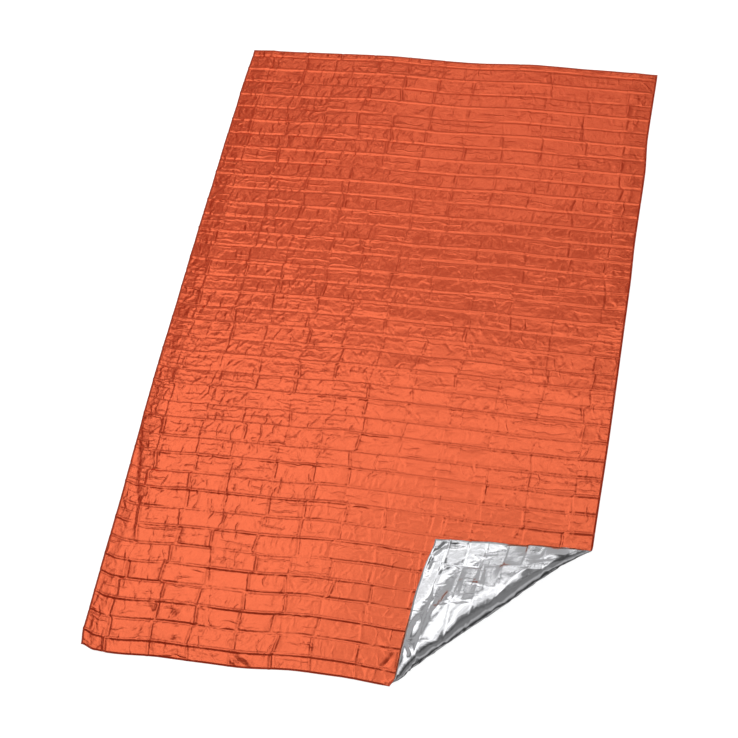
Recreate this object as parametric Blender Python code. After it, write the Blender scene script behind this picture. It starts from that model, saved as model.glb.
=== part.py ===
"""Emergency foil blanket, spread out with its near right corner turned over.

One piece of thin film, orange on one side and metallised on the other, cut to
1.524 x 2.438 m (60 x 96 in).  It came out of a small pack, so it keeps the
packing creases: straight ones across it every 61 to 66 mm, and two strong ones
along its sides.  The near right corner is rolled back over the sheet, silver
side up, with the fold standing up in a soft roll.

Metres, +Z up.  The sheet is worked out flat in (u, v), u across and v along it
from the near left corner, and is then carried round the fold.
"""

import math

import bmesh
import bpy
import numpy as np

# The cut sheet
SHEET_WIDTH = 1.524
SHEET_LENGTH = 2.438
FILM_THICKNESS = 0.001

# Creases across the sheet: the first one, the first panel's width, and how much
# narrower each next panel is
FIRST_CREASE = 0.052
PANEL_WIDTH = 0.0664
PANEL_NARROWING = 0.000144
CREASE_COUNT = 38
CREASE_HALF_WIDTH = 0.007
CREASE_HEIGHT = 0.0025
CREASE_HEIGHT_ON_FLAP = 0.001

# How high the sheet stands across its width: two lengthwise creases near the
# sides, with the strips outside them sloping down to the floor
SIDE_CREASES = (
    # u, height
    (0.000, 0.0000),
    (0.066, 0.0040),
    (0.080, 0.0060),
    (0.096, 0.0015),
    (0.150, 0.0000),
    (1.390, 0.0000),
    (1.426, 0.0010),
    (1.440, 0.0035),
    (1.456, 0.0025),
    (1.524, 0.0000),
)
PLAIN_COLUMNS = (0.29, 0.44, 0.60, 0.80, 0.97, 1.12, 1.26)

# How far each cut edge bows from the straight one: place along the edge, then
# the shift to the right (side edges) or away from the near end (end edges)
LEFT_EDGE = (
    # v, shift
    (0.00, 0.002),
    (0.05, -0.005),
    (0.43, -0.007),
    (0.97, -0.013),
    (1.50, -0.009),
    (1.90, -0.004),
    (2.24, 0.001),
    (2.44, 0.008),
)
RIGHT_EDGE = (
    # v, shift
    (0.00, 0.000),
    (0.18, -0.004),
    (0.34, -0.006),
    (0.52, 0.001),
    (0.95, 0.005),
    (1.51, 0.004),
    (1.70, 0.000),
    (1.98, 0.002),
    (2.15, -0.006),
    (2.44, -0.003),
)
NEAR_EDGE = (
    # u, shift
    (0.00, 0.008),
    (0.05, -0.008),
    (0.09, -0.011),
    (0.26, -0.002),
    (0.50, -0.003),
    (0.70, 0.011),
    (0.82, 0.010),
    (0.99, 0.001),
    (1.16, -0.006),
    (1.40, -0.007),
    (1.52, 0.000),
)
FAR_EDGE = (
    # u, shift
    (0.00, 0.009),
    (0.23, 0.013),
    (0.50, 0.020),
    (0.84, 0.008),
    (1.08, 0.017),
    (1.28, 0.010),
    (1.50, 0.002),
)

# The turned corner: where the fold meets the right edge (along v) and the near
# edge (along u)
FOLD_ON_RIGHT_EDGE = 0.523
FOLD_ON_NEAR_EDGE = 0.9865

# The roll along the fold: place as a share of the fold's length, radius of its
# bend, and how far its front stands back from the straight fold line
ROLL = (
    # share, radius, set_back
    (0.00, 0.0045, 0.000),
    (0.07, 0.0090, 0.007),
    (0.16, 0.0180, 0.013),
    (0.27, 0.0240, 0.014),
    (0.40, 0.0270, 0.012),
    (0.50, 0.0290, 0.011),
    (0.62, 0.0270, 0.012),
    (0.75, 0.0230, 0.012),
    (0.86, 0.0170, 0.009),
    (0.94, 0.0100, 0.004),
    (1.00, 0.0045, 0.000),
)
# The view of the roll's front is taken from above: a bend of radius 1 set down
# at its start shows its front this far out
FRONT_OF_UNIT_BEND = 0.673

# What the film does past the fold line: how far it turns, and the radius of
# that turn in roll radii.  The slope down to the sheet lies between the crown
# and the foot, and the flap lies level after the foot.
BEND_TURN = math.radians(165)
CROWN_TURN = math.radians(35)
CROWN_RADII = 3.2
FOOT_RADII = 3.0
FLAP_HEIGHT = 0.0095
FLAP_HEIGHT_RADII = 1.7
TIP_PULL = 0.014
TIP_PULL_START = 0.24
TIP_PULL_END = 0.36

# Bend rings: the cuts along the fold, as distances from the fold line
RINGS_BEFORE = (-0.030, -0.022, -0.014)
RING_FIRST = -0.008
RING_STEP = 0.0056
RING_COUNT = 6
RINGS_AFTER = (0.034, 0.044, 0.054, 0.066, 0.082, 0.105, 0.150, 0.190, 0.235)

ORANGE = (0.80, 0.16, 0.055, 1.0)


def remove_everything():
    for item in list(bpy.data.objects):
        bpy.data.objects.remove(item, do_unlink=True)


def crease_rows():
    """Places of the creases across the sheet, from the near end."""
    steps = np.arange(CREASE_COUNT)
    return FIRST_CREASE + PANEL_WIDTH * steps - PANEL_NARROWING * steps ** 2 / 2


def column(table, index):
    return np.array([row[index] for row in table])


def read_table(table, place, index=1):
    """Value at a place between a table's rows, eased from row to row."""
    places = column(table, 0)
    values = column(table, index)
    row = np.clip(np.searchsorted(places, place) - 1, 0, len(places) - 2)
    share = (place - places[row]) / (places[row + 1] - places[row])
    share = np.clip(share, 0.0, 1.0)
    eased = share * share * (3.0 - 2.0 * share)
    return values[row] + (values[row + 1] - values[row]) * eased


def flat_grid():
    """The cut sheet, flat, with edge loops on its creases and cuts along the fold."""
    rows = crease_rows()
    across = sorted([row[0] for row in SIDE_CREASES] + list(PLAIN_COLUMNS))
    along = [0.0, SHEET_LENGTH]
    for row in rows:
        along += [row - CREASE_HALF_WIDTH, row, row + CREASE_HALF_WIDTH]
    along.sort()
    mesh = bmesh.new()
    grid = [[mesh.verts.new((u, v, 0.0)) for u in across] for v in along]
    for lower, upper in zip(grid[:-1], grid[1:]):
        for i in range(len(across) - 1):
            mesh.faces.new((lower[i], lower[i + 1], upper[i + 1], upper[i]))
    rings = list(RINGS_BEFORE)
    rings += [RING_FIRST + RING_STEP * step for step in range(RING_COUNT)]
    rings += list(RINGS_AFTER)
    start, direction, outward, length = fold_line()
    for ring in rings:
        point = start + outward * ring
        bmesh.ops.bisect_plane(
            mesh,
            geom=mesh.verts[:] + mesh.edges[:] + mesh.faces[:],
            dist=0.0004,
            plane_co=(point[0], point[1], 0.0),
            plane_no=(outward[0], outward[1], 0.0),
        )
    bmesh.ops.triangulate(mesh, faces=mesh.faces[:])
    return mesh


def fold_line():
    """The fold's start on the right edge, its direction, the way out, its length."""
    start = np.array([SHEET_WIDTH, FOLD_ON_RIGHT_EDGE])
    end = np.array([FOLD_ON_NEAR_EDGE, 0.0])
    length = np.linalg.norm(end - start)
    direction = (end - start) / length
    outward = np.array([-direction[1], direction[0]])
    return start, direction, outward, length


def sheet_height(u, v, on_flap):
    """Height of the film above the floor, or off the flap's own level."""
    to_crease = np.abs(v[:, None] - crease_rows()[None, :]).min(axis=1)
    ridge = np.clip(1.0 - to_crease / CREASE_HALF_WIDTH, 0.0, 1.0)
    sides = np.interp(u, column(SIDE_CREASES, 0), column(SIDE_CREASES, 1))
    lying = np.maximum(CREASE_HEIGHT * ridge + sides, 0.0)
    turned = CREASE_HEIGHT_ON_FLAP * ridge
    return lying * (1.0 - on_flap) + turned * on_flap


def bowed_outline(u, v):
    """The flat sheet with its four cut edges bowed as they lie."""
    across = u / SHEET_WIDTH
    along = v / SHEET_LENGTH
    shift_u = (1.0 - across) * read_table(LEFT_EDGE, v) + across * read_table(RIGHT_EDGE, v)
    shift_v = (1.0 - along) * read_table(NEAR_EDGE, u) + along * read_table(FAR_EDGE, u)
    return u + shift_u, v + shift_v


def round_the_fold(past, radius):
    """Reach, height and turn of film that has gone `past` metres round the fold.

    Four stretches follow each other: the bend, the crown, the straight slope
    and the foot, which turns back the other way.  What is left lies level.
    """
    steepest = BEND_TURN + CROWN_TURN
    slope_angle = steepest - math.pi
    level = np.minimum(FLAP_HEIGHT, FLAP_HEIGHT_RADII * radius)
    crown_radius = CROWN_RADII * radius
    foot_radius = FOOT_RADII * radius
    top = radius * (1 - math.cos(BEND_TURN))
    top += crown_radius * (math.cos(BEND_TURN) - math.cos(steepest))
    slope_drop = top - level - foot_radius * (1 - math.cos(slope_angle))
    slope_length = np.maximum(slope_drop, 0.0) / math.sin(slope_angle)

    reach = np.minimum(past, 0.0)
    height = np.zeros_like(past)
    turn = np.zeros_like(past)
    left = np.maximum(past, 0.0)

    gone = np.minimum(left, radius * BEND_TURN)
    turn = turn + gone / radius
    reach = reach + radius * np.sin(turn)
    height = height + radius * (1 - np.cos(turn))
    left = left - gone

    gone = np.minimum(left, crown_radius * CROWN_TURN)
    after = turn + gone / crown_radius
    reach = reach + crown_radius * (np.sin(after) - np.sin(turn))
    height = height + crown_radius * (np.cos(turn) - np.cos(after))
    turn = after
    left = left - gone

    gone = np.minimum(left, slope_length)
    reach = reach + gone * np.cos(turn)
    height = height + gone * np.sin(turn)
    left = left - gone

    gone = np.minimum(left, foot_radius * slope_angle)
    after = turn - gone / foot_radius
    reach = reach - foot_radius * (np.sin(after) - np.sin(turn))
    height = height - foot_radius * (np.cos(turn) - np.cos(after))
    turn = after
    left = left - gone
    return reach - left, height, turn


def lay_out(points):
    """Carry flat points (u, v) to where the film's silver side lies."""
    u = points[:, 0]
    v = points[:, 1]
    start, direction, outward, length = fold_line()
    bowed_u, bowed_v = bowed_outline(u, v)
    from_start = np.stack([bowed_u, bowed_v], axis=1) - start
    share = from_start @ direction / length
    beyond = from_start @ outward
    radius = read_table(ROLL, share, 1)
    bend_start = -read_table(ROLL, share, 2) - FRONT_OF_UNIT_BEND * radius
    reach, height, turn = round_the_fold(beyond - bend_start, radius)
    pulled = np.clip((beyond - TIP_PULL_START) / (TIP_PULL_END - TIP_PULL_START), 0.0, 1.0)
    reach = bend_start + reach + TIP_PULL * pulled
    on_flap = np.clip((beyond - bend_start) / (math.pi * radius), 0.0, 1.0)
    lift = sheet_height(u, v, on_flap)
    reach = reach - np.sin(turn) * lift
    height = height + np.cos(turn) * lift
    placed = start + direction * (share * length)[:, None] + outward * reach[:, None]
    return np.column_stack([placed, height])


def film_material():
    material = bpy.data.materials.new("orange_film")
    material.use_nodes = True
    shader = material.node_tree.nodes["Principled BSDF"]
    shader.inputs["Base Color"].default_value = ORANGE
    shader.inputs["Roughness"].default_value = 0.3
    shader.inputs["Metallic"].default_value = 0.4
    return material


def make_foil_sheet():
    """The one cut sheet, laid out with its corner turned over, 1 mm thick."""
    flat = flat_grid()
    mesh = bpy.data.meshes.new("foil_sheet")
    flat.to_mesh(mesh)
    flat.free()
    points = np.empty(len(mesh.vertices) * 3)
    mesh.vertices.foreach_get("co", points)
    points = lay_out(points.reshape(-1, 3))
    middle = (points[:, :2].min(axis=0) + points[:, :2].max(axis=0)) / 2
    points[:, :2] -= middle
    mesh.vertices.foreach_set("co", points.ravel())
    mesh.shade_smooth()
    mesh.materials.append(film_material())
    sheet = bpy.data.objects.new("foil_sheet", mesh)
    bpy.context.scene.collection.objects.link(sheet)
    film = sheet.modifiers.new("film", "SOLIDIFY")
    film.thickness = FILM_THICKNESS
    film.offset = 1.0
    film.use_even_offset = True
    return sheet


remove_everything()
make_foil_sheet()
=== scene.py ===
import math

import bpy
import numpy as np
from mathutils import Matrix, Vector


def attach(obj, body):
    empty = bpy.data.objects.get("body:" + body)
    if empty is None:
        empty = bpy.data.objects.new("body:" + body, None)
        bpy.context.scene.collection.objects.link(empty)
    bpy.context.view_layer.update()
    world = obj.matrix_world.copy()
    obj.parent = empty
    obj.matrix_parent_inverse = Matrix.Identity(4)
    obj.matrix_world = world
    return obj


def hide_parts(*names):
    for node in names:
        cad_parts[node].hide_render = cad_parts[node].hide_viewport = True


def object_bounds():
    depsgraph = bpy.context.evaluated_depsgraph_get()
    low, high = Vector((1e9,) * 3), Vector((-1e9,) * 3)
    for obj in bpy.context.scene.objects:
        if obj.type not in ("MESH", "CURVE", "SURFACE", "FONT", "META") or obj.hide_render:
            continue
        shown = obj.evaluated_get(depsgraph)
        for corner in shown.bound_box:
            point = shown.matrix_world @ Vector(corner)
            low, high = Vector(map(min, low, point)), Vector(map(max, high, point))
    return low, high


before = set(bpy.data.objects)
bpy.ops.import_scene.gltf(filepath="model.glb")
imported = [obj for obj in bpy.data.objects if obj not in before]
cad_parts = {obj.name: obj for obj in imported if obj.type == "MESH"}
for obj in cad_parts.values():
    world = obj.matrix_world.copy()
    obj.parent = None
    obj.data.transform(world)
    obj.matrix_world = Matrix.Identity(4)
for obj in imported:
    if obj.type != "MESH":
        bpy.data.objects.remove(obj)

cad_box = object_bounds()


# The cut film.  One rectangle of thin plastic film with bare cut edges, orange
# ink on one face and bright metal on the other.  It is worked out flat first:
# u runs across it and v along it, in metres from its near left corner.
FILM_WIDTH = 1.524
FILM_LENGTH = 2.438
FILM_THICKNESS = 0.0004

# How far each cut edge bows from the straight: place along it, then the shift
# to the right (side edges) or away from the near end (end edges).
LEFT_EDGE = (
    (0.00, 0.002), (0.05, -0.005), (0.43, -0.007), (0.97, -0.013),
    (1.50, -0.009), (1.90, -0.004), (2.24, 0.001), (2.44, 0.008),
)
RIGHT_EDGE = (
    (0.00, 0.000), (0.18, -0.004), (0.34, -0.006), (0.52, 0.001), (0.95, 0.005),
    (1.51, 0.004), (1.70, 0.000), (1.98, 0.002), (2.15, -0.006), (2.44, -0.003),
)
NEAR_EDGE = (
    (0.00, 0.008), (0.05, -0.008), (0.09, -0.011), (0.26, -0.002), (0.50, -0.003),
    (0.70, 0.011), (0.82, 0.010), (0.99, 0.001), (1.16, -0.006), (1.40, -0.007),
    (1.52, 0.000),
)
FAR_EDGE = (
    (0.00, 0.009), (0.23, 0.013), (0.50, 0.020), (0.84, 0.008), (1.08, 0.017),
    (1.28, 0.010), (1.50, 0.002),
)


def eased(table, place, column=1):
    """Value at a place between a table's rows, with a smoothstep from row to row."""
    rows = np.array(table)
    row = np.clip(np.searchsorted(rows[:, 0], place) - 1, 0, len(rows) - 2)
    share = (place - rows[row, 0]) / (rows[row + 1, 0] - rows[row, 0])
    share = np.clip(share, 0.0, 1.0)
    share = share * share * (3.0 - 2.0 * share)
    return rows[row, column] + (rows[row + 1, column] - rows[row, column]) * share


def soft_noise(u, v, step_u, step_v, seed):
    """Random values from -1 to 1 on a lattice, with a smoothstep between its points."""
    shape = (int(FILM_WIDTH / step_u) + 4, int(FILM_LENGTH / step_v) + 4)
    lattice = np.random.default_rng(seed).uniform(-1.0, 1.0, shape)
    a = np.clip(u / step_u + 1.0, 0.0, shape[0] - 1.001)
    b = np.clip(v / step_v + 1.0, 0.0, shape[1] - 1.001)
    i = a.astype(int)
    j = b.astype(int)
    x = a - i
    y = b - j
    x = x * x * (3.0 - 2.0 * x)
    y = y * y * (3.0 - 2.0 * y)
    low = lattice[i, j] * (1 - x) + lattice[i + 1, j] * x
    high = lattice[i, j + 1] * (1 - x) + lattice[i + 1, j + 1] * x
    return low * (1 - y) + high * y


# The packing creases.  The film was first folded into long strips and then
# across, so the creases across it are long and straight, and the lengthwise
# ones are short and step to and fro from one panel to the next.
FIRST_CREASE = 0.052
PANEL_WIDTH = 0.0664
PANEL_NARROWING = 0.000144
CREASE_COUNT = 38
STRIP_CREASES = (0.080, 0.215, 0.345, 0.485, 0.610, 0.735, 0.870, 1.010, 1.155, 1.300, 1.440)

# A lengthwise crease's shift and lean in a panel: usual, and at most.  It steps
# over to its place in the next panel within the step's length of a crease.
STRIP_SHIFT = (0.008, 0.018)
STRIP_LEAN = (0.007, 0.014)
STEP_LENGTH = 0.0050

# The creases across the film wander along it: how far, and the steps of the noise
WANDER = 0.0014
WANDER_STEPS = (0.11, 0.05)

# Mesh lines: distances from a crease across the film, drawn together in a
# narrow panel, and shares of a panel and of a strip
LINES_BY_CREASE = (0.0, 0.0030, 0.0062, 0.0085)
NARROW_PANEL = 0.05
SHARES_OF_PANEL = (0.33, 0.50, 0.67)
SHARES_OF_STRIP = (0.0, 0.022, 0.046, 0.066, 0.26, 0.50, 0.74, 0.934, 0.954, 0.978)
SHARES_OF_SIDE_STRIP = (0.0, 0.08, 0.17, 0.27, 0.37, 0.48, 0.60, 0.72, 0.84, 0.94)


def panel_lines():
    """Mesh lines across the film: their places, panels, distances past a crease and panel widths."""
    steps = np.arange(CREASE_COUNT)
    creases = FIRST_CREASE + PANEL_WIDTH * steps - PANEL_NARROWING * steps**2 / 2
    edges = np.concatenate([[0.0], creases, [FILM_LENGTH]])
    places = []
    panels = []
    for panel, (start, end) in enumerate(zip(edges[:-1], edges[1:])):
        width = end - start
        near = np.array(LINES_BY_CREASE) * min(1.0, width / NARROW_PANEL)
        offsets = np.concatenate([near, width * np.array(SHARES_OF_PANEL), width - near[:0:-1]])
        places.append(start + offsets)
        panels.append(np.full(len(offsets), panel))
    places.append(np.array([FILM_LENGTH]))
    panels.append(np.array([CREASE_COUNT]))
    places = np.concatenate(places)
    panels = np.concatenate(panels)
    past = places - edges[panels]
    width = edges[panels + 1] - edges[panels]
    return places, panels, past, width


def strip_paths(panels, past, width):
    """Where each lengthwise crease runs at each mesh line across the film.

    In a panel it leans by its own small angle about its own shifted middle; at
    the panel's ends it steps over to its place in the next panel.
    """
    draw = np.random.default_rng(7)
    count = (CREASE_COUNT + 1, len(STRIP_CREASES))
    usual, most = STRIP_SHIFT
    shift = np.clip(draw.normal(0.0, usual, count), -most, most)
    usual, most = STRIP_LEAN
    lean = np.clip(draw.normal(0.0, usual, count), -most, most)
    share = past / width
    own = shift[panels] + lean[panels] * (share - 0.5)[:, None]
    first_half = share < 0.5
    beside = np.clip(panels + np.where(first_half, -1, 1), 0, CREASE_COUNT)
    end = np.where(first_half, 0.5, -0.5)
    other = shift[beside] + lean[beside] * end[:, None]
    to_crease = np.minimum(past, width - past)
    mix = 0.5 * np.clip(1.0 - to_crease / STEP_LENGTH, 0.0, 1.0)[:, None]
    paths = np.array(STRIP_CREASES) + own * (1 - mix) + other * mix
    left = np.zeros((len(panels), 1))
    right = np.full((len(panels), 1), FILM_WIDTH)
    return np.hstack([left, paths, right])


line_v, line_panel, line_past, line_width = panel_lines()
strip_path = strip_paths(line_panel, line_past, line_width)
strip_count = len(STRIP_CREASES) + 1
line_strip = np.append(np.repeat(np.arange(strip_count), len(SHARES_OF_STRIP)), strip_count - 1)
line_share = np.concatenate([SHARES_OF_SIDE_STRIP, np.tile(SHARES_OF_STRIP, strip_count - 1), [1.0]])
strip_start = strip_path[:, line_strip]
strip_end = strip_path[:, line_strip + 1]
film_u = strip_start + line_share * (strip_end - strip_start)
straight_v = line_v[:, None] + 0 * film_u
film_v = straight_v + WANDER * soft_noise(film_u, straight_v, *WANDER_STEPS, 3)
film_v[0] = 0.0
film_v[-1] = FILM_LENGTH
cell_u = line_strip + line_share + 0 * film_u
cell_v = (line_panel + line_past / line_width)[:, None] + 0 * film_u

# How the creased film lies: heights in metres above the floor.  Creases are
# mountain and valley by turns; every cell between them tilts a little.
PANEL_HEIGHT = 0.0023
MOUNTAIN_OR_VALLEY = 0.0001
CELL_UNEVENNESS = 0.0006
CREASE_REACH = 0.0064
ACROSS_CREASE = 0.0025
STRIP_CREASE = 0.0026
LOWEST = 0.0002
SOFT_LANDING = 0.0006
SIDE_STRIPS = (
    # place across the film, height added there
    (0.000, 0.0000), (0.066, 0.0035), (0.080, 0.0045), (0.096, 0.0015), (0.150, 0.0000),
    (1.390, 0.0000), (1.426, 0.0010), (1.440, 0.0030), (1.456, 0.0020), (1.524, 0.0000),
)

# How strongly the creases stand, by their place across the film: the left side
# was crumpled more than the right.  Those across it also stand higher towards
# the far end, by their place along it, and each is uneven along its own run.
CREASE_STRENGTH = ((0.0, 1.15), (0.55, 1.1), (0.80, 1.05), (1.15, 0.95), (1.524, 1.0))
STRIP_CREASE_STRENGTH = ((0.0, 1.7), (0.55, 1.5), (0.80, 0.9), (1.524, 0.7))
FAR_CREASE_STRENGTH = ((0.0, 1.0), (1.1, 1.0), (1.7, 1.35), (2.438, 1.35))
VIGOUR = 0.85
VIGOUR_SPREAD = 0.30
VIGOUR_STEP = 0.09
VIGOUR_ROW = 0.06

# A lengthwise crease in a panel: its least and greatest random share, how many
# of them are valleys, and the share left at the panel's ends
STRIP_CREASE_SHARES = (0.35, 1.25)
VALLEYS = 0.6
STRIP_CREASE_END = 0.45
STRIP_CREASE_SWELL = 0.7


def crease_shape(distance):
    """Height of a crease over its highest: 1 - (distance / reach) squared, squared, and 0 past it."""
    return np.clip(1.0 - (distance / CREASE_REACH) ** 2, 0.0, 1.0) ** 2


def crease_heights(u):
    """Height of the creased film over each flat place of the grid.

    Cell corners get a mountain or valley height and a random share of the
    unevenness; the film runs straight between them along v, with a smoothstep
    along u.  Each crease adds its height * strength * crease_shape(distance),
    up or down; a lengthwise one swells as sin(pi * share of the panel) ** swell.
    """
    draw = np.random.default_rng(19)
    crease_rows = CREASE_COUNT + 2
    mountain = (np.arange(crease_rows) % 2 == 1)[:, None]
    corners = PANEL_HEIGHT + np.where(mountain, MOUNTAIN_OR_VALLEY, -MOUNTAIN_OR_VALLEY)
    corners = corners + CELL_UNEVENNESS * draw.uniform(-1, 1, (crease_rows, strip_count + 1))
    start = corners[line_panel][:, line_strip]
    start_next = corners[line_panel][:, line_strip + 1]
    end = corners[line_panel + 1][:, line_strip]
    end_next = corners[line_panel + 1][:, line_strip + 1]
    across = line_share * line_share * (3 - 2 * line_share)
    along = (line_past / line_width)[:, None]
    low = start * (1 - across) + start_next * across
    high = end * (1 - across) + end_next * across
    height = low * (1 - along) + high * along

    strength = eased(CREASE_STRENGTH, u) * eased(FAR_CREASE_STRENGTH, line_v)[:, None]
    nearest = line_panel + (line_past > line_width / 2)
    sign = np.where(nearest % 2 == 1, 1.0, -1.0)[:, None]
    sign[(nearest == 0) | (nearest == CREASE_COUNT + 1)] = 0.0
    own_row = VIGOUR_ROW * nearest[:, None] + 0 * u
    vigour = VIGOUR + VIGOUR_SPREAD * soft_noise(u, own_row, VIGOUR_STEP, VIGOUR_ROW, 23)
    to_crease = np.minimum(line_past, line_width - line_past)[:, None]
    height += ACROSS_CREASE * strength * sign * vigour * crease_shape(to_crease)

    weight = draw.uniform(*STRIP_CREASE_SHARES, (CREASE_COUNT + 1, strip_count + 1))
    weight *= draw.choice([-1.0, 1.0], weight.shape, p=[VALLEYS, 1 - VALLEYS])
    weight[:, 0] = 0.0
    weight[:, -1] = 0.0
    middle = STRIP_CREASE_END + (1 - STRIP_CREASE_END) * np.sin(np.pi * along) ** STRIP_CREASE_SWELL
    middle = middle * eased(STRIP_CREASE_STRENGTH, u)
    to_start = np.abs(u - strip_start)
    to_end = np.abs(strip_end - u)
    for distance, strip in ((to_start, line_strip), (to_end, line_strip + 1)):
        crease = weight[line_panel][:, strip] * crease_shape(distance)
        height += STRIP_CREASE * middle * crease
    return height + eased(SIDE_STRIPS, u)


# Wide wrinkles that aren't packing creases, listed one by one: soft troughs
# (negative) and ridges between two flat places.
WRINKLES = (
    # from u, from v, to u, to v, width, height
    (-0.005, 0.80, 0.045, 0.56, 0.010, -0.0027),
    (0.045, 0.56, 0.072, 0.45, 0.009, -0.0025),
    (0.072, 0.45, 0.068, 0.28, 0.009, -0.0020),
    (0.068, 0.28, 0.078, 0.19, 0.009, -0.0018),
    (0.078, 0.17, 0.070, 0.04, 0.009, -0.0020),
    (0.355, 1.260, 0.415, 1.400, 0.012, -0.0026),
    (0.350, 1.480, 0.430, 1.560, 0.012, 0.0022),
    (0.200, 1.930, 0.285, 2.060, 0.016, 0.0022),
    (0.120, 1.760, 0.150, 2.010, 0.012, 0.0016),
    (0.820, 1.100, 0.930, 1.140, 0.014, 0.0016),
    (0.640, 1.330, 0.760, 1.300, 0.016, 0.0018),
    (0.780, 1.240, 0.900, 1.270, 0.014, -0.0015),
    (1.350, 1.080, 1.460, 1.050, 0.014, 0.0016),
    (1.250, 1.600, 1.410, 1.560, 0.016, 0.0014),
)
UNEVENNESS = (
    # step across, step along, height, seed
    (0.16, 0.13, 0.0010, 31),
    (0.060, 0.045, 0.0008, 37),
    (0.032, 0.026, 0.0003, 41),
)


def wrinkle_heights(u, v, table):
    """Sum of soft ridges: height * exp(-(distance to the stroke / width) squared)."""
    total = np.zeros_like(u)
    for from_u, from_v, to_u, to_v, width, height in table:
        stroke_u = to_u - from_u
        stroke_v = to_v - from_v
        share = (u - from_u) * stroke_u + (v - from_v) * stroke_v
        share = np.clip(share / (stroke_u**2 + stroke_v**2), 0.0, 1.0)
        away = np.hypot(u - from_u - share * stroke_u, v - from_v - share * stroke_v)
        total += height * np.exp(-((away / width) ** 2))
    return total


def unevenness(u, v):
    """Sum of smooth random fields, each at its own scale and height."""
    total = np.zeros_like(u)
    for step_u, step_v, height, seed in UNEVENNESS:
        total += height * soft_noise(u, v, step_u, step_v, seed)
    return total


# The turned corner.  The near right corner is rolled back over the film along a
# slanting line; the film stands up there in a roll, slopes down again and lies
# on itself, silver face up.
FOLD_START = np.array([FILM_WIDTH, 0.523])
FOLD_END = np.array([0.9865, 0.0])
FOLD_LENGTH = np.linalg.norm(FOLD_END - FOLD_START)
ALONG_FOLD = (FOLD_END - FOLD_START) / FOLD_LENGTH
OUTWARD = np.array([-ALONG_FOLD[1], ALONG_FOLD[0]])
ROLL = (
    # share of the fold's length, radius of the bend, set back from the fold line
    (0.00, 0.0045, 0.000), (0.07, 0.0090, 0.007), (0.16, 0.0180, 0.013),
    (0.27, 0.0240, 0.014), (0.40, 0.0270, 0.012), (0.50, 0.0290, 0.011),
    (0.62, 0.0270, 0.012), (0.75, 0.0230, 0.012), (0.86, 0.0170, 0.009),
    (0.94, 0.0100, 0.004), (1.00, 0.0045, 0.000),
)
# The photograph's view carries the front of a bend of radius 1 down to the floor
# this far past the bend's start
FRONT_OF_UNIT_BEND = 0.673

# The roll's section: how far its bend and then its crown turn, the radii of the
# crown and of the foot in bend radii, and the level that the film comes down to,
# at most and in bend radii
BEND_TURN = math.radians(165)
CROWN_TURN = math.radians(35)
CROWN_RADII = 3.2
FOOT_RADII = 3.0
FLAP_HEIGHT = 0.0105
FLAP_HEIGHT_RADII = 1.7

# The turned corner's tip is drawn back towards the fold: how far, and the
# distances past the fold line between which this sets in
TIP_PULL = 0.014
TIP_PULL_FROM = 0.24
TIP_PULL_TO = 0.36

# On the turned corner: the share of the creases' height, by distance past the
# fold line, the share of the unevenness, and patches between creases that tilt
FLAP_CREASE_SHARE = ((0.0, 0.25), (0.10, 0.35), (0.22, 0.90), (0.40, 0.90))
FLAP_UNEVENNESS_SHARE = 1.1
FLAP_TILTS = (
    # middle u, middle v, reach across, reach along, slope away from the fold
    (1.262, 0.112, 0.080, 0.022, 0.25),
    (1.500, 0.345, 0.030, 0.030, 0.36),
    (1.405, 0.262, 0.040, 0.020, 0.16),
    (1.190, 0.075, 0.040, 0.020, 0.20),
)


def tilt_heights(u, v, table):
    """Sum of tilted patches: slope * distance from the middle, times 1 - share ** 4 each way."""
    total = np.zeros_like(u)
    for middle_u, middle_v, reach_u, reach_v, slope in table:
        from_u = u - middle_u
        from_v = v - middle_v
        window = np.clip(1 - (from_u / reach_u) ** 4, 0, 1) * np.clip(1 - (from_v / reach_v) ** 4, 0, 1)
        total += slope * (from_u * OUTWARD[0] + from_v * OUTWARD[1]) * window
    return total


def round_the_fold(past, radius):
    """Reach, height and turn of film that has gone a length past the bend's start.

    Bend, crown, slope and foot follow each other; each is an arc, or straight
    for the slope, and starts at the turn where the last one ended.  The foot
    turns back the other way, and what is left lies level.
    """
    steepest = BEND_TURN + CROWN_TURN
    slope_angle = steepest - math.pi
    level = np.minimum(FLAP_HEIGHT, FLAP_HEIGHT_RADII * radius)
    crown = CROWN_RADII * radius
    foot = FOOT_RADII * radius
    top = radius * (1 - math.cos(BEND_TURN))
    top += crown * (math.cos(BEND_TURN) - math.cos(steepest))
    drop = np.maximum(top - level - foot * (1 - math.cos(slope_angle)), 0.0)
    stretches = (
        (radius, BEND_TURN, 1.0, None),
        (crown, CROWN_TURN, 1.0, None),
        (None, 0.0, 0.0, drop / math.sin(slope_angle)),
        (foot, slope_angle, -1.0, None),
    )
    reach = np.minimum(past, 0.0)
    height = np.zeros_like(past)
    turn = np.zeros_like(past)
    left = np.maximum(past, 0.0)
    for arc, angle, way, length in stretches:
        if arc is None:
            gone = np.minimum(left, length)
            reach = reach + gone * np.cos(turn)
            height = height + gone * np.sin(turn)
        else:
            gone = np.minimum(left, arc * angle)
            after = turn + way * gone / arc
            reach = reach + way * arc * (np.sin(after) - np.sin(turn))
            height = height + way * arc * (np.cos(turn) - np.cos(after))
            turn = after
        left = left - gone
    return reach - left, height, turn


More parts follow.
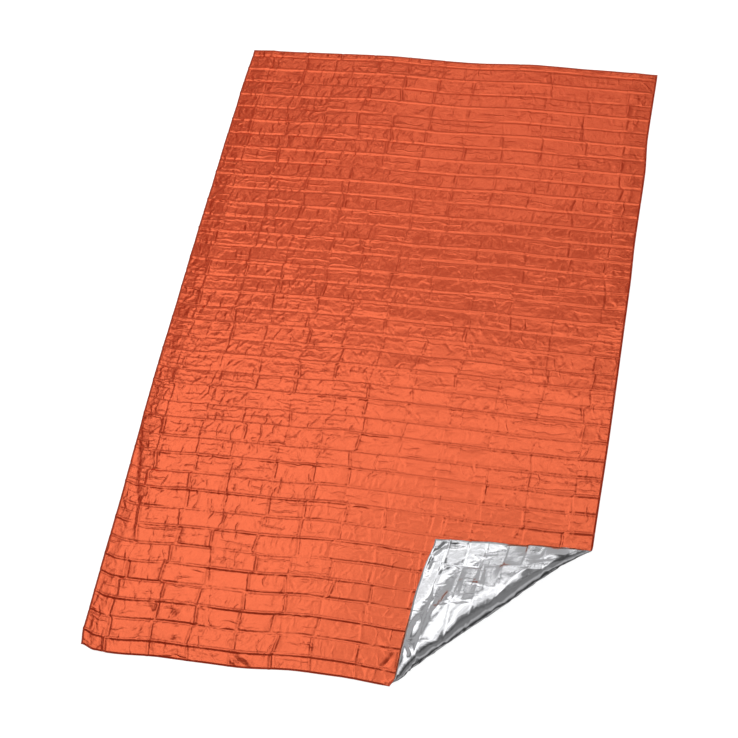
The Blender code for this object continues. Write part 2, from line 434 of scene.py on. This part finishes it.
def lay_out(u, v, lift):
    """Carry the film's flat places to where they lie, lifted off its plane.

    Past the fold line a place follows the roll's profile, which is square to
    the fold, and its lift is taken along the profile's normal.
    """
    across = u / FILM_WIDTH
    along = v / FILM_LENGTH
    placed_u = u + (1 - across) * eased(LEFT_EDGE, v) + across * eased(RIGHT_EDGE, v)
    placed_v = v + (1 - along) * eased(NEAR_EDGE, u) + along * eased(FAR_EDGE, u)
    from_u = placed_u - FOLD_START[0]
    from_v = placed_v - FOLD_START[1]
    share = (from_u * ALONG_FOLD[0] + from_v * ALONG_FOLD[1]) / FOLD_LENGTH
    beyond = from_u * OUTWARD[0] + from_v * OUTWARD[1]
    radius = eased(ROLL, share, 1)
    bend_start = -eased(ROLL, share, 2) - FRONT_OF_UNIT_BEND * radius
    reach, height, turn = round_the_fold(beyond - bend_start, radius)
    pulled = np.clip((beyond - TIP_PULL_FROM) / (TIP_PULL_TO - TIP_PULL_FROM), 0.0, 1.0)
    reach = bend_start + reach + TIP_PULL * pulled - np.sin(turn) * lift
    height = height + np.cos(turn) * lift
    x = FOLD_START[0] + ALONG_FOLD[0] * share * FOLD_LENGTH + OUTWARD[0] * reach
    y = FOLD_START[1] + ALONG_FOLD[1] * share * FOLD_LENGTH + OUTWARD[1] * reach
    on_flap = np.clip((beyond - bend_start) / (math.pi * radius), 0.0, 1.0)
    return np.stack([x, y, height], axis=-1), on_flap


def grid_normals(points):
    """Unit normals of a grid of points, from the steps along and across it."""
    along = np.gradient(points, axis=0)
    across = np.gradient(points, axis=1)
    normals = np.cross(across, along)
    return normals / np.linalg.norm(normals, axis=-1, keepdims=True)


# The laid film as one closed mesh: the orange face, the silver face a film's
# thickness under it, and the cut edge round both.  Its lowest heights are eased
# up from the floor, so that it lies on the floor and not in it.
_, film_on_flap = lay_out(film_u, film_v, 0.0 * film_u)
lying = crease_heights(film_u) + wrinkle_heights(film_u, film_v, WRINKLES)
lying = lying + unevenness(film_u, film_v) - LOWEST
lying = LOWEST + 0.5 * (lying + np.hypot(lying, SOFT_LANDING))
turned = crease_heights(film_u) - eased(SIDE_STRIPS, film_u) - PANEL_HEIGHT
film_past_fold = (film_u - FOLD_START[0]) * OUTWARD[0] + (film_v - FOLD_START[1]) * OUTWARD[1]
turned *= eased(FLAP_CREASE_SHARE, film_past_fold)
turned += tilt_heights(film_u, film_v, FLAP_TILTS)
turned += FLAP_UNEVENNESS_SHARE * unevenness(film_u, film_v)
film_lift = lying * (1 - film_on_flap) - turned * film_on_flap
middle_surface, _ = lay_out(film_u, film_v, film_lift + FILM_THICKNESS)
low_corner = cad_box[0]
middle_surface[..., 0] += low_corner[0] - min(shift for _, shift in LEFT_EDGE)
middle_surface[..., 1] += low_corner[1] - min(shift for _, shift in NEAR_EDGE)
half = grid_normals(middle_surface) * FILM_THICKNESS / 2
orange_points = middle_surface + half
silver_points = middle_surface - half


def closed_sheet(name, top, bottom, maps):
    """Mesh with a top grid, a bottom grid facing the other way, and a rim of quads.

    Each map gives both faces one more pair of places to look patterns up by.
    """
    rows, columns = top.shape[:2]
    index = np.arange(rows * columns).reshape(rows, columns)
    under = index + rows * columns
    quads = np.stack([index[:-1, :-1], index[:-1, 1:], index[1:, 1:], index[1:, :-1]], axis=-1)
    top_faces = quads.reshape(-1, 4)
    bottom_faces = top_faces[:, (0, 3, 2, 1)] + rows * columns
    loop = np.concatenate([index[0], index[1:, -1], index[-1, -2::-1], index[-2:0:-1, 0]])
    loop_under = np.concatenate([under[0], under[1:, -1], under[-1, -2::-1], under[-2:0:-1, 0]])
    rim = np.stack([loop, loop_under, np.roll(loop_under, -1), np.roll(loop, -1)], axis=-1)
    faces = np.concatenate([top_faces, bottom_faces, rim])
    points = np.concatenate([top.reshape(-1, 3), bottom.reshape(-1, 3)])
    mesh = bpy.data.meshes.new(name)
    mesh.vertices.add(len(points))
    mesh.vertices.foreach_set("co", points.ravel())
    mesh.loops.add(faces.size)
    mesh.loops.foreach_set("vertex_index", faces.ravel().astype(np.int32))
    mesh.polygons.add(len(faces))
    mesh.polygons.foreach_set("loop_start", np.arange(0, faces.size, 4, dtype=np.int32))
    material = np.ones(len(faces), dtype=np.int32)
    material[: len(top_faces)] = 0
    mesh.polygons.foreach_set("material_index", material)
    smooth = np.ones(len(faces), dtype=bool)
    smooth[-len(rim):] = False
    mesh.polygons.foreach_set("use_smooth", smooth)
    for map_name, across, along, size in maps:
        places = np.stack([across.ravel(), along.ravel()], axis=-1) / size
        places = np.concatenate([places, places])
        layer = mesh.uv_layers.new(name=map_name)
        layer.uv.foreach_set("vector", places[faces.ravel()].ravel())
    mesh.update()
    mesh.validate()
    return mesh


CELL_MAP_SIZE = 40.0
film_maps = (("film", film_u, film_v, FILM_LENGTH), ("cells", cell_u, cell_v, CELL_MAP_SIZE))
film_mesh = closed_sheet("foil_film", orange_points, silver_points, film_maps)
foil_film = bpy.data.objects.new("foil_film", film_mesh)
bpy.context.scene.collection.objects.link(foil_film)
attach(foil_film, "root")
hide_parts("foil_sheet")


# Both faces of the film.  The crumpling that is too small for the mesh is bump
# on the film's own maps: short creases that start afresh in each panel or strip,
# short strokes four ways, grain, and single wrinkles listed one by one.
def add_node(tree, kind, **settings):
    node = tree.nodes.new(kind)
    for name, value in settings.items():
        setattr(node, name, value)
    return node


def plug_in(tree, sockets, values):
    """Give each socket its value: a number, or another node's output."""
    for socket, value in zip(sockets, values):
        if isinstance(value, (int, float)):
            socket.default_value = value
        else:
            tree.links.new(value, socket)


def calculate(tree, operation, *values):
    node = add_node(tree, "ShaderNodeMath", operation=operation)
    plug_in(tree, node.inputs, values)
    return node.outputs[0]


def from_to(tree, value, low, high, new_low=0.0, new_high=1.0):
    """A value's way from low to high, eased and clamped, carried over to a new low and high."""
    node = add_node(tree, "ShaderNodeMapRange", interpolation_type="SMOOTHSTEP")
    plug_in(tree, node.inputs, (value, low, high, new_low, new_high))
    return node.outputs[0]


def map_places(tree, name, size):
    """A map's places at their real size: one vector, and its two numbers."""
    flat = add_node(tree, "ShaderNodeUVMap", uv_map=name)
    scaled = add_node(tree, "ShaderNodeVectorMath", operation="SCALE")
    scaled.inputs["Scale"].default_value = size
    tree.links.new(flat.outputs[0], scaled.inputs[0])
    parts = add_node(tree, "ShaderNodeSeparateXYZ")
    tree.links.new(scaled.outputs[0], parts.inputs[0])
    return scaled.outputs[0], parts.outputs[0], parts.outputs[1]


def noise(tree, place, across, along, detail=2.0, roughness=0.5):
    """Noise from 0 to 1 with a number of waves in each metre across and along."""
    stretched = add_node(tree, "ShaderNodeMapping")
    stretched.inputs["Scale"].default_value = (across, along, 1.0)
    tree.links.new(place, stretched.inputs["Vector"])
    node = add_node(tree, "ShaderNodeTexNoise")
    node.inputs["Scale"].default_value = 1.0
    node.inputs["Detail"].default_value = detail
    node.inputs["Roughness"].default_value = roughness
    tree.links.new(stretched.outputs[0], node.inputs["Vector"])
    return node.outputs["Fac"]


def shaken(tree, place, waves, amount):
    """Places pushed about by noise with a number of waves in each metre."""
    node = add_node(tree, "ShaderNodeTexNoise")
    node.inputs["Scale"].default_value = waves
    node.inputs["Detail"].default_value = 1.0
    tree.links.new(place, node.inputs["Vector"])
    moved = add_node(tree, "ShaderNodeVectorMath", operation="MULTIPLY_ADD")
    moved.inputs[1].default_value = (amount, amount, 0.0)
    tree.links.new(node.outputs["Color"], moved.inputs[0])
    tree.links.new(place, moved.inputs[2])
    return moved.outputs[0]


# Strokes: their lattice's step in widths and lengths, a stroke's reach in steps,
# and the fade between points without a stroke and points with one
STROKE_SPACING = 1.6
STROKE_RADIUS = 0.42
SHARE_FADE = 0.1


def strokes(tree, place, angle, width, length, share_shown):
    """Short wrinkles: 1 in a stroke's middle, 0 two thirds of its width or length away.

    Each is the oval round one random point of a stretched and turned lattice,
    and only a share of the points has one.
    """
    turned = add_node(tree, "ShaderNodeMapping", vector_type="TEXTURE")
    turned.inputs["Rotation"].default_value = (0.0, 0.0, math.radians(angle))
    turned.inputs["Scale"].default_value = (STROKE_SPACING * width, STROKE_SPACING * length, 1.0)
    tree.links.new(place, turned.inputs["Vector"])
    lattice = add_node(tree, "ShaderNodeTexVoronoi", voronoi_dimensions="2D")
    lattice.inputs["Scale"].default_value = 1.0
    tree.links.new(turned.outputs[0], lattice.inputs["Vector"])
    stroke = from_to(tree, lattice.outputs["Distance"], 0.0, STROKE_RADIUS, 1.0, 0.0)
    parts = add_node(tree, "ShaderNodeSeparateColor")
    tree.links.new(lattice.outputs["Color"], parts.inputs[0])
    hidden = 1.0 - share_shown
    shown = from_to(tree, parts.outputs[0], hidden, hidden + SHARE_FADE)
    return calculate(tree, "MULTIPLY", stroke, shown)


# Short creases: the most that a cell shifts them, in spacings, and the noise at
# which they set in and show in full
CELL_SHIFT = 17.0
CREASE_SHOWS = (0.50, 0.62)


def short_creases(tree, place, cell, spacing, width, wobble, present):
    """Lines a spacing apart: 1 on a line, 0 a width away.

    Each cell shifts them by its own random share of CELL_SHIFT spacings, they
    wobble, and they show only where the noise called present is high.
    """
    random = add_node(tree, "ShaderNodeTexWhiteNoise", noise_dimensions="1D")
    tree.links.new(calculate(tree, "FLOOR", cell), random.inputs["W"])
    turns = calculate(tree, "MULTIPLY_ADD", place, 1.0 / spacing, wobble)
    turns = calculate(tree, "MULTIPLY_ADD", random.outputs["Value"], CELL_SHIFT, turns)
    away = calculate(tree, "MULTIPLY", calculate(tree, "PINGPONG", turns, 0.5), spacing)
    line = from_to(tree, away, 0.0, width, 1.0, 0.0)
    return calculate(tree, "MULTIPLY", line, from_to(tree, present, *CREASE_SHOWS))


# A placed wrinkle's oval: half its length and width, in stroke lengths and widths
OVAL_LENGTH = 0.8
OVAL_WIDTH = 1.5


def placed_wrinkles(tree, place, table):
    """Sum of single wrinkles: height * (1 - share of the way out of an oval) squared."""
    total = 0.0
    for from_u, from_v, to_u, to_v, width, height in table:
        oval = add_node(tree, "ShaderNodeMapping", vector_type="TEXTURE")
        stroke = Vector((to_u - from_u, to_v - from_v))
        oval.inputs["Location"].default_value = ((from_u + to_u) / 2, (from_v + to_v) / 2, 0.0)
        oval.inputs["Rotation"].default_value = (0.0, 0.0, math.atan2(stroke.y, stroke.x))
        oval.inputs["Scale"].default_value = (stroke.length * OVAL_LENGTH, width * OVAL_WIDTH, 1.0)
        tree.links.new(place, oval.inputs["Vector"])
        ridge = add_node(tree, "ShaderNodeTexGradient", gradient_type="QUADRATIC_SPHERE")
        tree.links.new(oval.outputs[0], ridge.inputs["Vector"])
        total = calculate(tree, "MULTIPLY_ADD", ridge.outputs["Fac"], height, total)
    return total


# Short creases: the first run along the film and start afresh in each panel, the
# second run across it and start afresh in each strip
SHORT_CREASES = (
    # spacing, width, waves in each metre of the noise that shows them, height
    (0.047, 0.0065, (9.0, 9.0), 0.0008),
    (0.029, 0.0060, (5.0, 13.0), 0.0008),
)
WOBBLE_WAVES = 21.0

# Strokes, with the waves in each metre and the reach of what pushes them about,
# and grain
STROKES = (
    # degrees turned from the film's length, width, length, share shown, height
    (0.0, 0.014, 0.050, 0.5, 0.0007),
    (88.0, 0.013, 0.080, 0.6, 0.0005),
    (34.0, 0.015, 0.050, 0.35, -0.0006),
    (-38.0, 0.015, 0.050, 0.35, 0.0006),
)
STROKE_SHAKE = (25.0, 0.020)
GRAIN = (
    # waves in each metre across and along, detail, height
    (45.0, 40.0, 2.0, 0.0014),
    (130.0, 110.0, 1.0, 0.0003),
)

# How the crumpling changes: from a place, to a place, its share before and after
CRUMPLE_FROM_LEFT = (0.40, 0.90, 1.7, 0.9)
CRUMPLE_FROM_NEAR_END = (0.25, 0.75, 0.75, 1.0)
CRUMPLE_TO_FAR_END = (1.20, 1.80, 1.0, 1.15)

# The cut edges curl down: how near the edge, and how far
EDGE_CURL = 0.007
EDGE_DROP = 0.0024


def crumple(tree, amount, wrinkles):
    """Height in metres of the fine crumpling, by the film's two maps.

    The sum of each table's patterns times their heights, times the shares at
    that place and the amount; the edges' drop and the placed wrinkles are added.
    """
    place, u, v = map_places(tree, "film", FILM_LENGTH)
    _, strip, panel = map_places(tree, "cells", CELL_MAP_SIZE)
    wobble = noise(tree, place, WOBBLE_WAVES, WOBBLE_WAVES, 1.0)
    loose = shaken(tree, place, *STROKE_SHAKE)
    height = 0.0
    for along, cell, (spacing, width, waves, size) in zip((u, v), (panel, strip), SHORT_CREASES):
        present = noise(tree, place, *waves)
        pattern = short_creases(tree, along, cell, spacing, width, wobble, present)
        height = calculate(tree, "MULTIPLY_ADD", pattern, size, height)
    for *stroke, size in STROKES:
        height = calculate(tree, "MULTIPLY_ADD", strokes(tree, loose, *stroke), size, height)
    for *grain, size in GRAIN:
        height = calculate(tree, "MULTIPLY_ADD", noise(tree, place, *grain), size, height)
    for value, change in ((u, CRUMPLE_FROM_LEFT), (v, CRUMPLE_FROM_NEAR_END), (v, CRUMPLE_TO_FAR_END)):
        height = calculate(tree, "MULTIPLY", height, from_to(tree, value, *change))
    height = calculate(tree, "MULTIPLY", height, amount)
    to_side = calculate(tree, "PINGPONG", u, FILM_WIDTH / 2)
    to_end = calculate(tree, "PINGPONG", v, FILM_LENGTH / 2)
    to_edge = calculate(tree, "MINIMUM", to_side, to_end)
    height = calculate(tree, "ADD", height, from_to(tree, to_edge, 0.0, EDGE_CURL, -EDGE_DROP, 0.0))
    return calculate(tree, "ADD", height, placed_wrinkles(tree, place, wrinkles))


def wear_bump(tree, shader, height):
    bump = add_node(tree, "ShaderNodeBump")
    bump.inputs["Strength"].default_value = 1.0
    bump.inputs["Distance"].default_value = 1.0
    tree.links.new(height, bump.inputs["Height"])
    tree.links.new(bump.outputs[0], shader.inputs["Normal"])


# The orange face: orange ink printed over the metal, which shines through it,
# under the film's own clear gloss.
ORANGE_INK = (0.71, 0.034, 0.010, 1.0)
METAL_THROUGH_INK = 0.48
GLOSS_OF_INK = (1.0, 0.80, 0.37, 1.0)
INK_ROUGHNESS = 0.18
INK_REFRACTION = 2.6

ORANGE_WRINKLES = (
    # from u, from v, to u, to v, width, height
    (0.092, 0.80, 0.088, 0.60, 0.010, -0.0022),
    (0.088, 0.60, 0.125, 0.40, 0.010, 0.0022),
    (0.235, 0.115, 0.175, 0.180, 0.012, -0.0028),
    (0.245, 0.115, 0.300, 0.190, 0.012, -0.0028),
    (0.260, 0.060, 0.330, 0.085, 0.012, 0.0024),
    (0.365, 0.070, 0.385, 0.130, 0.012, -0.0024),
    (0.470, 0.050, 0.545, -0.005, 0.012, -0.0026),
    (0.500, 0.055, 0.565, 0.000, 0.012, 0.0026),
    (0.470, 0.030, 0.520, 0.000, 0.010, 0.0024),
    (0.150, 0.165, 0.120, 0.215, 0.010, -0.0020),
    (0.060, 1.200, 0.100, 1.160, 0.014, -0.0034),
    (0.100, 1.320, 0.085, 1.210, 0.013, -0.0030),
    (0.235, 1.080, 0.215, 0.980, 0.012, -0.0028),
    (0.170, 1.120, 0.255, 1.170, 0.012, 0.0028),
    (0.385, 1.240, 0.430, 1.210, 0.013, -0.0030),
    (0.225, 1.450, 0.205, 1.350, 0.012, -0.0028),
    (0.420, 1.660, 0.385, 1.560, 0.013, 0.0024),
    (0.080, 1.000, 0.110, 0.900, 0.012, 0.0024),
    (0.330, 0.700, 0.395, 0.640, 0.012, -0.0024),
    (0.690, 0.110, 0.745, 0.075, 0.011, 0.0024),
    (0.860, 0.090, 0.905, 0.020, 0.012, -0.0026),
    (0.930, 0.150, 0.975, 0.090, 0.012, 0.0028),
    (0.945, 0.040, 0.985, 0.110, 0.012, -0.0030),
    (1.410, 0.680, 1.440, 0.600, 0.012, -0.0024),
    (1.380, 0.830, 1.450, 0.760, 0.013, 0.0020),
)

orange = bpy.data.materials.new("orange_ink_on_film")
orange.use_nodes = True
orange_shader = orange.node_tree.nodes["Principled BSDF"]
orange_shader.inputs["Base Color"].default_value = ORANGE_INK
orange_shader.inputs["Metallic"].default_value = METAL_THROUGH_INK
orange_shader.inputs["Roughness"].default_value = INK_ROUGHNESS
orange_shader.inputs["IOR"].default_value = INK_REFRACTION
orange_shader.inputs["Specular Tint"].default_value = GLOSS_OF_INK
wear_bump(orange.node_tree, orange_shader, crumple(orange.node_tree, 1.0, ORANGE_WRINKLES))
film_mesh.materials.append(orange)


# The silver face: bare metal on the film, close to a mirror.
SILVER_METAL = (0.66, 0.66, 0.68, 1.0)
SILVER_ROUGHNESS = 0.14

SILVER_WRINKLES = (
    # from u, from v, to u, to v, width, height, on the film as cut
    (1.370, 0.014, 1.500, 0.008, 0.013, -0.0060),
    (1.465, 0.004, 1.516, 0.046, 0.013, -0.0060),
    (1.505, 0.020, 1.510, 0.125, 0.013, -0.0055),
    (1.470, 0.140, 1.478, 0.230, 0.010, 0.0030),
    (1.400, 0.040, 1.450, 0.100, 0.012, 0.0030),
    (1.310, 0.140, 1.420, 0.135, 0.012, 0.0026),
    (1.330, 0.215, 1.430, 0.200, 0.012, 0.0030),
    (1.345, 0.165, 1.435, 0.170, 0.010, -0.0026),
    (1.380, 0.120, 1.360, 0.230, 0.010, 0.0026),
    (1.290, 0.230, 1.400, 0.300, 0.012, 0.0030),
    (1.410, 0.310, 1.450, 0.360, 0.012, 0.0034),
    (1.460, 0.350, 1.480, 0.440, 0.011, -0.0034),
    (1.430, 0.380, 1.470, 0.420, 0.010, 0.0034),
    (1.420, 0.400, 1.450, 0.450, 0.010, -0.0034),
    (1.230, 0.055, 1.330, 0.105, 0.014, 0.0034),
    (1.150, 0.020, 1.240, 0.030, 0.014, 0.0034),
    (1.070, 0.030, 1.130, 0.020, 0.012, -0.0034),
    (1.060, 0.060, 1.120, 0.050, 0.012, 0.0034),
    (1.090, 0.045, 1.150, 0.010, 0.010, 0.0030),
)

# The roll pulls the film smooth: distances past the fold, and shares of the crumpling there
SMOOTH_BY_ROLL = (0.09, 0.17, 0.35, 1.0)


def film_past_fold_node(tree):
    """Distance past the fold line: (u, v) less the fold's start, times the way outward."""
    place, _, _ = map_places(tree, "film", FILM_LENGTH)
    from_start = add_node(tree, "ShaderNodeVectorMath", operation="SUBTRACT")
    from_start.inputs[1].default_value = (*FOLD_START, 0.0)
    tree.links.new(place, from_start.inputs[0])
    past = add_node(tree, "ShaderNodeVectorMath", operation="DOT_PRODUCT")
    past.inputs[1].default_value = (*OUTWARD, 0.0)
    tree.links.new(from_start.outputs[0], past.inputs[0])
    return past.outputs["Value"]


silver = bpy.data.materials.new("silver_film")
silver.use_nodes = True
silver_shader = silver.node_tree.nodes["Principled BSDF"]
silver_shader.inputs["Base Color"].default_value = SILVER_METAL
silver_shader.inputs["Metallic"].default_value = 1.0
silver_shader.inputs["Roughness"].default_value = SILVER_ROUGHNESS
past_fold = film_past_fold_node(silver.node_tree)
smoother_by_roll = from_to(silver.node_tree, past_fold, *SMOOTH_BY_ROLL)
silver_height = crumple(silver.node_tree, smoother_by_roll, SILVER_WRINKLES)
wear_bump(silver.node_tree, silver_shader, silver_height)
film_mesh.materials.append(silver)


# The floor: plain and white, with a rim far off that stands behind the film in
# low views.  It gives off some light of its own, so that it stays evenly white,
# and the film doesn't mirror it.
FLOOR_REACH = 30.0
RIM_HEIGHT = 7.0
FLOOR_COLOUR = (0.3, 0.3, 0.3, 1.0)
FLOOR_GLOW = 0.93
floor_corners = [
    (-FLOOR_REACH, -FLOOR_REACH, 0.0), (FLOOR_REACH, -FLOOR_REACH, 0.0),
    (FLOOR_REACH, FLOOR_REACH, 0.0), (-FLOOR_REACH, FLOOR_REACH, 0.0),
]
rim_corners = [(x, y, RIM_HEIGHT) for x, y, _ in floor_corners]
floor_faces = [(0, 1, 2, 3), (0, 4, 5, 1), (1, 5, 6, 2), (2, 6, 7, 3), (3, 7, 4, 0)]
floor_mesh = bpy.data.meshes.new("floor")
floor_mesh.from_pydata(floor_corners + rim_corners, [], floor_faces)
floor = bpy.data.objects.new("floor", floor_mesh)
bpy.context.scene.collection.objects.link(floor)
floor_paint = bpy.data.materials.new("floor")
floor_paint.use_nodes = True
floor_shader = floor_paint.node_tree.nodes["Principled BSDF"]
floor_shader.inputs["Base Color"].default_value = FLOOR_COLOUR
floor_shader.inputs["Roughness"].default_value = 0.9
floor_shader.inputs["Specular IOR Level"].default_value = 0.0
floor_shader.inputs["Emission Color"].default_value = (1.0, 1.0, 1.0, 1.0)
floor_shader.inputs["Emission Strength"].default_value = FLOOR_GLOW
floor_mesh.materials.append(floor_paint)
floor.visible_glossy = False


# The room's sides, which the film mirrors where it tilts or is seen low: how
# bright they look at each height of a direction, from -1 straight down to 1
# straight up.  The near side is the one that the roll faces.
NEAR_SIDE = (
    # height, brightness
    (-0.90, 0.46), (-0.72, 0.06), (-0.35, 0.06), (0.00, 0.50), (0.25, 0.62), (0.52, 0.27),
)
FAR_SIDE = (
    (-0.90, 0.46), (-0.72, 0.06), (-0.35, 0.06), (0.00, 0.50), (0.42, 0.54), (0.52, 0.08),
)

# The far side turns into the near one between these, of a direction's x less its y
FAR_TO_NEAR = (0.2, 0.8)


def brightness_by_height(tree, height, table):
    """Brightness between a table's rows, straight from row to row."""
    ramp = add_node(tree, "ShaderNodeValToRGB")
    stops = ramp.color_ramp.elements
    for _ in table[2:]:
        stops.new(0.5)
    for stop, (row_height, brightness) in zip(stops, table):
        stop.position = 0.5 + row_height / 2
        stop.color = (brightness, brightness, brightness, 1.0)
    tree.links.new(calculate(tree, "MULTIPLY_ADD", height, 0.5, 0.5), ramp.inputs["Fac"])
    return ramp.outputs["Color"]


world = bpy.context.scene.world or bpy.data.worlds.new("room")
bpy.context.scene.world = world
world.use_nodes = True
room = world.node_tree
direction = add_node(room, "ShaderNodeSeparateXYZ")
room.links.new(add_node(room, "ShaderNodeTexCoord").outputs["Generated"], direction.inputs[0])
toward_roll = calculate(room, "SUBTRACT", direction.outputs[0], direction.outputs[1])
far_brightness = brightness_by_height(room, direction.outputs[2], FAR_SIDE)
near_brightness = brightness_by_height(room, direction.outputs[2], NEAR_SIDE)
room_brightness = from_to(room, toward_roll, *FAR_TO_NEAR, far_brightness, near_brightness)
room.nodes["Background"].inputs["Color"].default_value = (1.0, 1.0, 1.0, 1.0)
room.links.new(room_brightness, room.nodes["Background"].inputs["Strength"])


# The light: two softboxes overhead, one over the film and one that begins over
# its near half and reaches well past the far end.  Both fade out at their edges
# and are crossed by soft bands, which the creases mirror as light and dark.
SOFTBOX_HEIGHT = 2.5
SOFTBOXES = (
    # middle, size, brightness, share of a side that fades out, bands along it, share left between them
    ((-0.55, 0.40), (5.9, 4.0), 2.18, 0.36, 8.2, 0.58),
    ((-0.50, 2.50), (6.0, 6.0), 2.40, 0.50, 11.0, 0.02),
)
BAND_EDGES = (0.10, 0.40)

# The places on them that the turned corner's metal mirrors are dimmer, so that the
# metal's fine creases aren't burnt out and its tilted patches are darker.
SHADES = (
    # middle, reach of the even core, reach of the fading rim, share of the light left
    ((0.00, 0.20), 0.35, 0.90, 0.62),
    ((0.95, -0.60), 0.45, 1.05, 0.15),
)
for softbox_middle, softbox_size, brightness, fading_share, bands, between in SOFTBOXES:
    softbox = bpy.data.lights.new("softbox", "AREA")
    softbox.shape = "RECTANGLE"
    softbox.size, softbox.size_y = softbox_size
    softbox.energy = brightness * math.pi * softbox.size * softbox.size_y
    softbox.use_nodes = True
    cover = softbox.node_tree
    spot = add_node(cover, "ShaderNodeSeparateXYZ")
    cover.links.new(add_node(cover, "ShaderNodeNewGeometry").outputs["Parametric"], spot.inputs[0])
    strength = 1.0
    for share_of_side in spot.outputs[:2]:
        from_edge = calculate(cover, "PINGPONG", share_of_side, 0.5)
        fade = from_to(cover, from_edge, 0.0, fading_share)
        strength = calculate(cover, "MULTIPLY", strength, fade)
    through_bands = calculate(cover, "MULTIPLY", spot.outputs[1], bands)
    through_bands = calculate(cover, "PINGPONG", through_bands, 0.5)
    band = from_to(cover, through_bands, *BAND_EDGES, between, 1.0)
    strength = calculate(cover, "MULTIPLY", strength, band)
    spot_on_cover = add_node(cover, "ShaderNodeNewGeometry").outputs["Position"]
    for shade_middle, core_reach, rim_reach, share_left in SHADES:
        from_shade = add_node(cover, "ShaderNodeVectorMath", operation="DISTANCE")
        from_shade.inputs[1].default_value = (*shade_middle, SOFTBOX_HEIGHT)
        cover.links.new(spot_on_cover, from_shade.inputs[0])
        shade = from_to(cover, from_shade.outputs["Value"], core_reach, rim_reach, share_left, 1.0)
        strength = calculate(cover, "MULTIPLY", strength, shade)
    cover.links.new(strength, cover.nodes["Emission"].inputs["Strength"])
    softbox_object = bpy.data.objects.new("softbox", softbox)
    softbox_object.location = (*softbox_middle, SOFTBOX_HEIGHT)
    bpy.context.scene.collection.objects.link(softbox_object)

# A weak, wide fill from straight above, which the film's gloss doesn't show
FILL_BRIGHTNESS = 0.10
FILL_WIDTH = math.radians(60)
fill = bpy.data.lights.new("fill", "SUN")
fill.energy = FILL_BRIGHTNESS
fill.angle = FILL_WIDTH
fill_object = bpy.data.objects.new("fill", fill)
fill_object.visible_glossy = False
bpy.context.scene.collection.objects.link(fill_object)


# The camera, at the photograph's viewing angle: past the near end, to the right
# and high up, with a long lens, and turned a little on its own axis.
CAMERA_EYE = Vector((1.1911, -3.1684, 5.0597))
CAMERA_AIM = Vector((-0.0481, -0.1255, 0.0))
CAMERA_ROLL = math.radians(-13.44)
CAMERA_LENS = 88.57
camera = bpy.data.cameras.new("camera")
camera.lens = CAMERA_LENS
camera.sensor_width = 36.0
camera_object = bpy.data.objects.new("camera", camera)
facing = (CAMERA_AIM - CAMERA_EYE).to_track_quat("-Z", "Y").to_matrix().to_4x4()
camera_object.matrix_world = (
    Matrix.Translation(CAMERA_EYE) @ facing @ Matrix.Rotation(CAMERA_ROLL, 4, "Z")
)
bpy.context.scene.collection.objects.link(camera_object)
bpy.context.scene.camera = camera_object
bpy.context.scene.view_settings.view_transform = "Standard"
